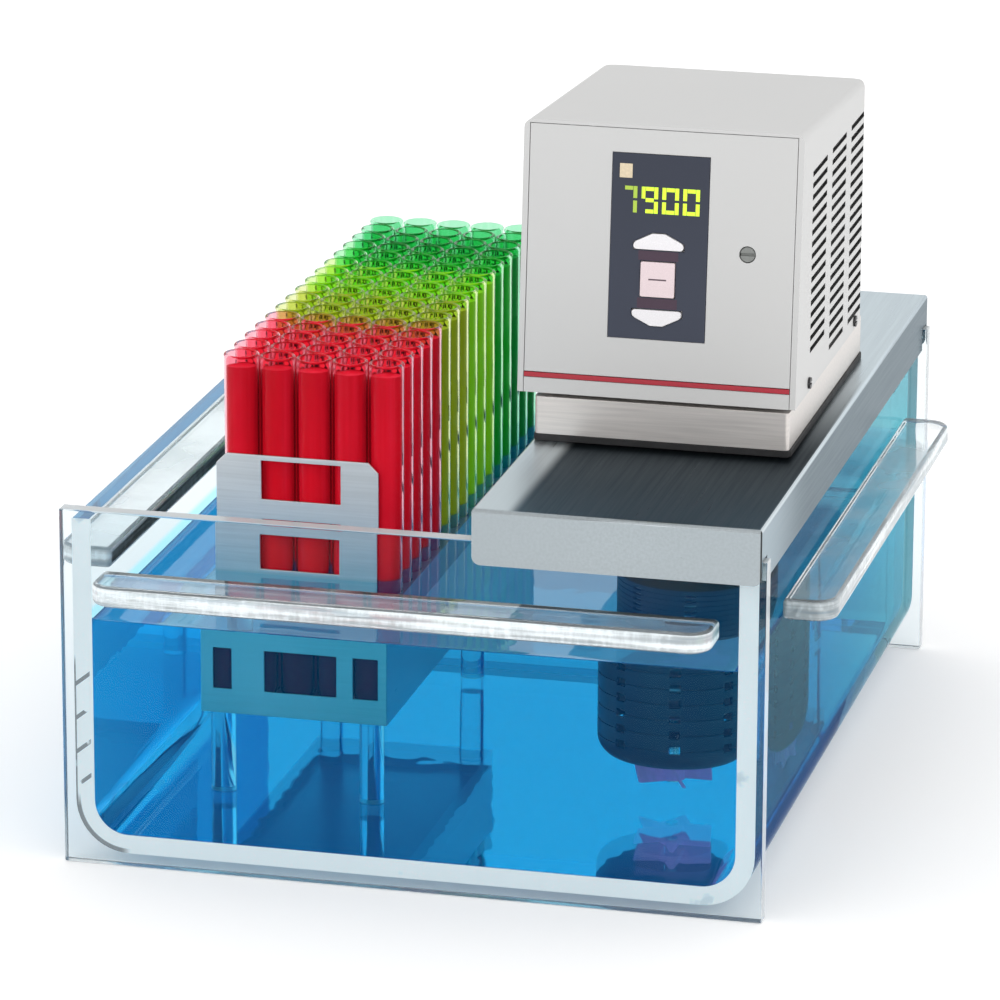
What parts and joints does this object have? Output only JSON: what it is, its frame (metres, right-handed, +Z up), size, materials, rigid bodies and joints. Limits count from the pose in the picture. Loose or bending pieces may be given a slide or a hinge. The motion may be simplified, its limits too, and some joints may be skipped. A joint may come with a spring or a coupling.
{
  "type": "water bath",
  "caption": "Clear laboratory water bath: a bent-sheet tank with grip strips, a steel bridge with an immersion circulator, and a rack of test tubes.",
  "frame": {"origin": "centre of the footprint, on the surface the tank stands on", "axes": "+X towards the circulator's side, +Y from the front end plate to the rear one, +Z up"},
  "size_m": [0.37, 0.469, 0.3372],
  "materials": {
    "clear_acrylic": "polished clear sheet",
    "grip_acrylic": "polished clear strip with sawn ends",
    "stainless": "fine satin",
    "plinth_steel": "satin",
    "black_rubber": "matte",
    "rest_polymer": "matte",
    "head_paint": "fine satin paint",
    "stripe_red": "gloss",
    "panel_slate": "satin film",
    "display_green": "glowing",
    "lamp_cream": "satin",
    "key_white": "satin",
    "key_pale": "satin",
    "black_plastic": "fine grain",
    "adjuster_grey": "matte",
    "switch_red": "gloss",
    "bright_metal": "bright",
    "board_green": "solder mask",
    "lamination": "varnished",
    "motor_grey": "satin",
    "copper": "wound wire",
    "guard_slate": "moulded",
    "impeller_pink": "moulded",
    "float_white": "moulded",
    "tube_glass": "clear glass",
    "sample_red": "clear liquid",
    "sample_amber": "clear liquid",
    "sample_lime": "clear liquid",
    "sample_green": "clear liquid",
    "sample_dark": "clear liquid"
  },
  "bodies": {
    "tank": {"tank_trough": "clear_acrylic", "front_end_plate": "clear_acrylic", "rear_end_plate": "clear_acrylic", "front_grip": "grip_acrylic", "rear_grip": "grip_acrylic", "left_grip": "grip_acrylic", "right_grip": "grip_acrylic"},
    "circulator": {"bridge_plate": "stainless", "bridge_rests": "rest_polymer", "bridge_fixings": "bright_metal", "plinth_gasket": "black_rubber", "mounting_plinth": "plinth_steel", "neck_seal": "black_rubber", "base_pan": "head_paint", "stripe_inlay": "stripe_red", "fascia": "head_paint", "head_cover": "head_paint", "rear_panel": "head_paint", "cover_screws": "black_plastic", "control_panel": "panel_slate", "display_segments": "display_green", "status_lamp": "lamp_cream", "adjuster_pot": "black_plastic", "mains_inlet": "black_plastic", "inlet_pins": "bright_metal", "switch_frame": "black_plastic", "control_board": "board_green", "power_board": "board_green", "board_posts": "bright_metal", "transformer": "lamination", "motor_body": "motor_grey", "pump_deck": "stainless", "shaft_column": "stainless", "pump_guard": "guard_slate", "heater_coil": "stainless", "temperature_probe": "bright_metal", "float_stem": "float_white"},
    "rotor": {"motor_rotor": "copper", "cooling_fan": "black_plastic", "pump_shaft": "bright_metal", "impeller": "impeller_pink"},
    "up_key": {"up_key": "key_white"},
    "set_key": {"set_key": "key_pale"},
    "down_key": {"down_key": "key_white"},
    "adjuster": {"limit_adjuster": "adjuster_grey"},
    "rocker": {"mains_switch": "switch_red"},
    "float": {"level_float": "float_white"},
    "rack": {"rack_front_plate": "stainless", "rack_rear_plate": "stainless", "rack_tier": "stainless", "rack_shelf": "stainless", "rack_sides": "stainless", "rack_feet": "clear_acrylic", "test_tubes": "tube_glass", "red_samples": "sample_red", "amber_samples": "sample_amber", "lime_samples": "sample_lime", "green_samples": "sample_green", "dark_samples": "sample_dark"}
  },
  "joints": [
    {"name": "circulator_lift", "type": "slide", "parent": "tank", "child": "circulator", "axis": [0, 0, 1], "range_m": [0, 0.15]},
    {"name": "rack_lift", "type": "slide", "parent": "tank", "child": "rack", "axis": [0, 0, 1], "range_m": [0, 0.18]},
    {"name": "pump_spin", "type": "hinge", "parent": "circulator", "child": "rotor", "pos_m": [0.0987, -0.0505, 0.24], "axis": [0, 0, 1], "continuous": true},
    {"name": "up_key_press", "type": "slide", "parent": "circulator", "child": "up_key", "axis": [0, 0.9956, -0.0941], "range_m": [0, 0.0006], "stiffness_N_per_m": 500, "springref_m": -0.0004},
    {"name": "set_key_press", "type": "slide", "parent": "circulator", "child": "set_key", "axis": [0, 0.9956, -0.0941], "range_m": [0, 0.0006], "stiffness_N_per_m": 500, "springref_m": -0.0004},
    {"name": "down_key_press", "type": "slide", "parent": "circulator", "child": "down_key", "axis": [0, 0.9956, -0.0941], "range_m": [0, 0.0006], "stiffness_N_per_m": 500, "springref_m": -0.0004},
    {"name": "adjuster_turn", "type": "hinge", "parent": "circulator", "child": "adjuster", "pos_m": [0.1301, -0.09184, 0.28069], "axis": [0, -0.9956, 0.0941], "range_deg": [0, 270]},
    {"name": "rocker_tilt", "type": "hinge", "parent": "circulator", "child": "rocker", "pos_m": [0.1092, 0.0675, 0.2822], "axis": [1, 0, 0], "range_deg": [0, 16]},
    {"name": "float_slide", "type": "slide", "parent": "circulator", "child": "float", "axis": [0, 0, 1], "range_m": [0, 0.012]}
  ]
}
